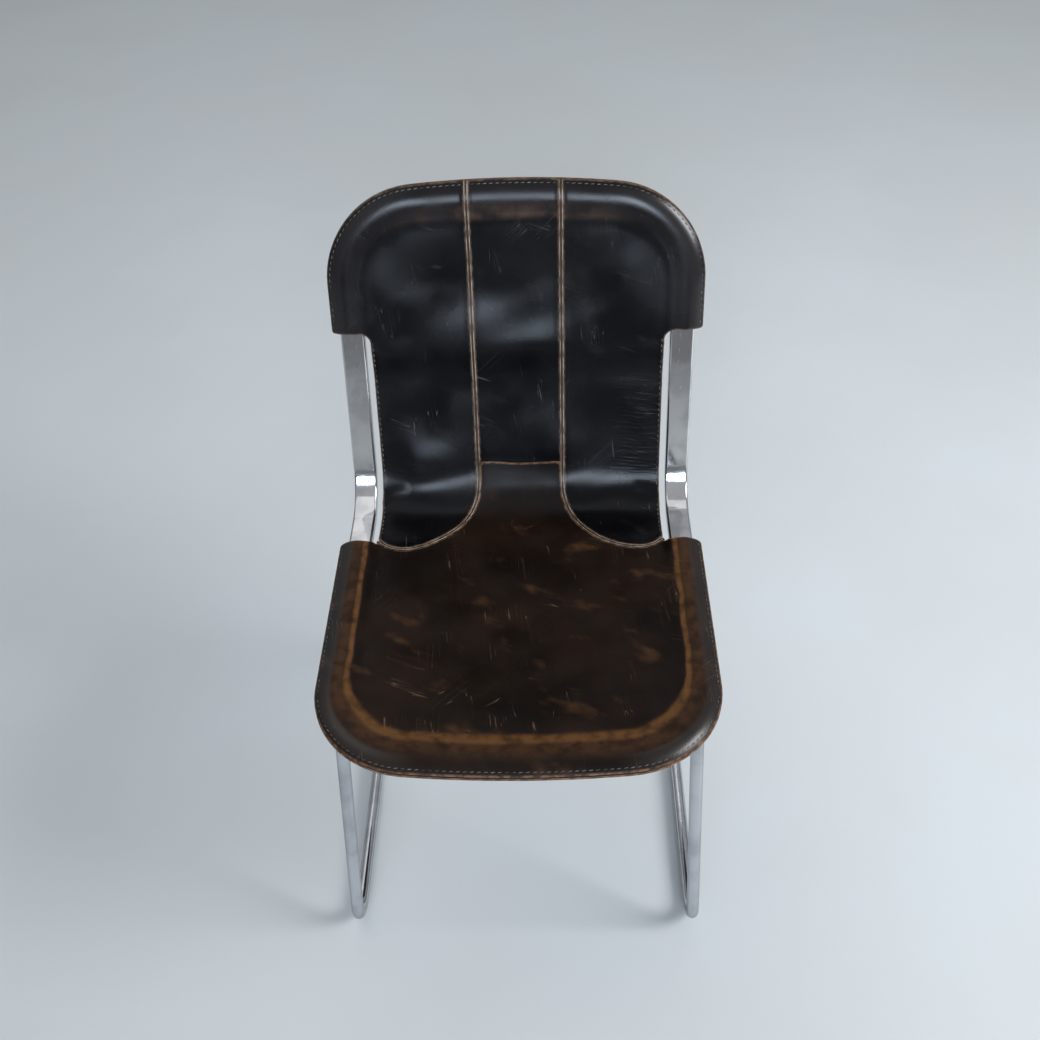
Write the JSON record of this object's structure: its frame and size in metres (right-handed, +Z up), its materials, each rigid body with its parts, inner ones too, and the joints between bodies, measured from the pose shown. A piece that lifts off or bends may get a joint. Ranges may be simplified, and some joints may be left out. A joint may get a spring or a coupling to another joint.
{
  "type": "leather dining chair",
  "caption": "Sled-base dining chair: a chromed flat-tube hoop bent into seat and back carries a sewn saddle-leather sling in pouches, on round-tube side loops.",
  "frame": {"origin": "on the floor under the middle of the chair's overall box", "axes": "+Z up, -Y the way the sitter faces, +X to the right of someone facing the chair"},
  "size_m": [0.472, 0.5748, 0.829],
  "materials": {
    "chrome": "polished",
    "sleeve_steel": "raw",
    "glide_plastic": "matte",
    "black_leather": "semi-gloss",
    "brown_leather": "semi-gloss, worn",
    "tan_edge_leather": "raw cut edge",
    "lining_leather": "matte"
  },
  "bodies": {
    "root": {"seat_front_tube": "chrome", "back_arch_tube": "chrome", "side_rail_left": "chrome", "side_rail_right": "chrome", "joint_sleeves": "sleeve_steel", "sled_tube_left": "chrome", "sled_tube_right": "chrome", "leg_weld_beads": "chrome", "glide_front_left": "glide_plastic", "glide_front_right": "glide_plastic", "glide_rear_left": "glide_plastic", "glide_rear_right": "glide_plastic", "back_panel_left": "black_leather", "back_panel_centre": "black_leather", "back_panel_right": "black_leather", "seat_panel": "brown_leather", "seam_welt_left": "tan_edge_leather", "seam_welt_right": "tan_edge_leather", "seat_lining": "lining_leather", "back_lining": "lining_leather"}
  },
  "joints": []
}
